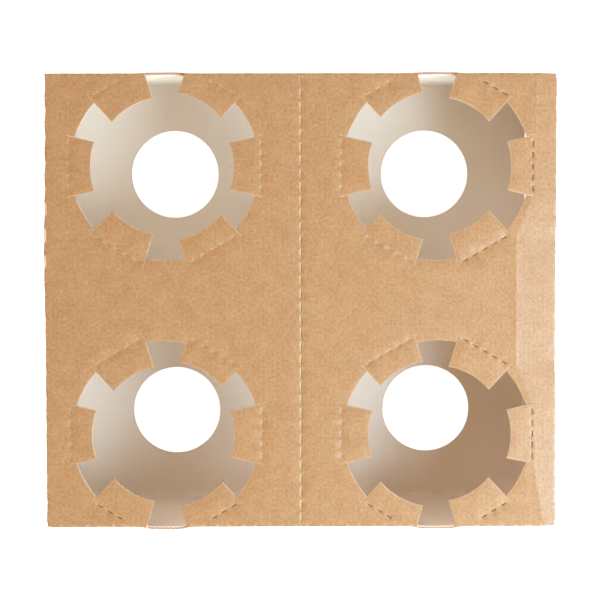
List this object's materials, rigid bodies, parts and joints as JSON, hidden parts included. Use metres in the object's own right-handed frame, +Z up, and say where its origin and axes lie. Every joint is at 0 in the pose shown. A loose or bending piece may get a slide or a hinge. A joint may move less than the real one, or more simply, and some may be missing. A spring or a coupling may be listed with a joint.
{
  "type": "cardboard cup carrier",
  "caption": "Box-shaped cup carrier folded from one sheet of corrugated board, with a ring of tabs round each cup opening on top, round base holes below and a tear line down the middle.",
  "frame": {"origin": "on the table, under the middle of the carrier's overall box", "axes": "+X along the carrier's long side, +Y to the back wall that carries the glue lap, +Z up"},
  "size_m": [0.215, 0.1918, 0.057],
  "materials": {
    "kraft_board": "matt brown kraft outside, matt white liner inside"
  },
  "bodies": {
    "root": {"carrier_board": "kraft_board"}
  },
  "joints": []
}
